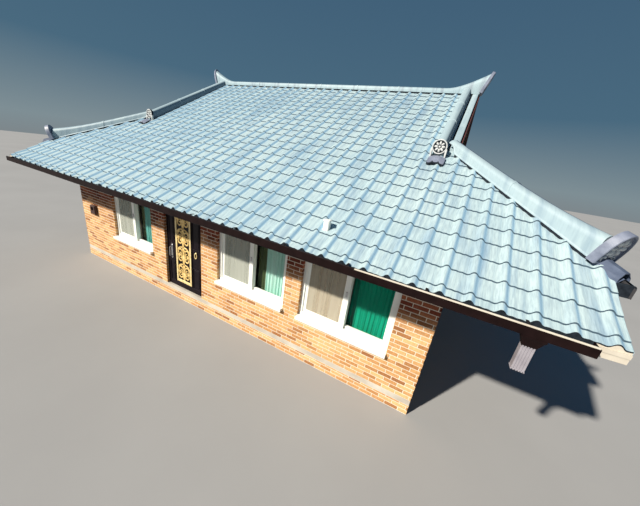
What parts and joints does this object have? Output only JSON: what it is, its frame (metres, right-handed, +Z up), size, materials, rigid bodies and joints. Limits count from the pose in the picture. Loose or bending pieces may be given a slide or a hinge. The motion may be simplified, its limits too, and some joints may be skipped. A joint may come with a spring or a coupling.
{
  "type": "hanok house",
  "caption": "One-storey brick hanok house with a hip-and-gable roof of pressed metal tile sheets, upturned ridge ends, sliding windows and an ornamental front door.",
  "frame": {"origin": "on the ground under the middle of the main ridge, at the centre of the brick footprint", "axes": "+X along the front to the right as seen from outside, +Y from the front wall into the house, +Z up; the front door faces -Y"},
  "size_m": [11.2226, 9.7406, 5.43],
  "materials": {
    "roof_sheet": "satin pale blue-grey coating",
    "ridge_cap": "satin blue-grey coating",
    "brick": "matt fired brick with pale mortar",
    "concrete": "rough",
    "plaster": "matt",
    "white_plastic": "semi-gloss",
    "glass": "clear",
    "curtain": "matt cloth",
    "dark_wood": "matt paint",
    "door_metal": "satin",
    "gilt": "satin cast ornament",
    "handle": "brushed",
    "gutter": "satin",
    "meter_box": "matt"
  },
  "bodies": {
    "house": {"foundation": "brick", "floor_slab": "concrete", "front_wall_left": "brick", "front_wall_right": "brick", "front_wall_over_door": "brick", "back_wall": "brick", "left_wall": "brick", "right_wall": "brick", "window_1_sill": "white_plastic", "window_1_frame": "white_plastic", "window_1_glass": "glass", "window_1_curtain": "curtain", "window_2_sill": "white_plastic", "window_2_frame": "white_plastic", "window_2_glass": "glass", "window_2_curtain": "curtain", "window_3_sill": "white_plastic", "window_3_frame": "white_plastic", "window_3_glass": "glass", "window_3_curtain": "curtain", "back_window_1_sill": "white_plastic", "back_window_1_frame": "white_plastic", "back_window_1_glass": "glass", "back_window_2_sill": "white_plastic", "back_window_2_frame": "white_plastic", "back_window_2_glass": "glass", "door_frame": "door_metal", "front_roof": "roof_sheet", "back_roof": "roof_sheet", "left_roof": "roof_sheet", "right_roof": "roof_sheet", "left_gable_wall": "plaster", "right_gable_wall": "plaster", "left_gable_boards": "dark_wood", "right_gable_boards": "dark_wood", "main_ridge": "ridge_cap", "gable_ridge_front_left": "ridge_cap", "gable_ridge_front_right": "ridge_cap", "gable_ridge_back_left": "ridge_cap", "gable_ridge_back_right": "ridge_cap", "hip_ridge_front_left": "ridge_cap", "hip_ridge_front_right": "ridge_cap", "hip_ridge_back_left": "ridge_cap", "hip_ridge_back_right": "ridge_cap", "front_gutter_back": "gutter", "front_gutter_base": "gutter", "front_gutter_lip": "gutter", "back_gutter_back": "gutter", "back_gutter_base": "gutter", "back_gutter_lip": "gutter", "front_spout": "gutter", "back_spout": "gutter", "meter_box": "meter_box", "roof_box": "white_plastic"},
    "door": {"door_leaf": "door_metal", "door_panel": "gilt", "door_handle": "handle"}
  },
  "joints": [
    {"name": "front_door", "type": "hinge", "parent": "house", "child": "door", "pos_m": [-0.0148, -3.962, 1.23], "axis": [0, 0, 1], "range_deg": [0, 90]}
  ]
}
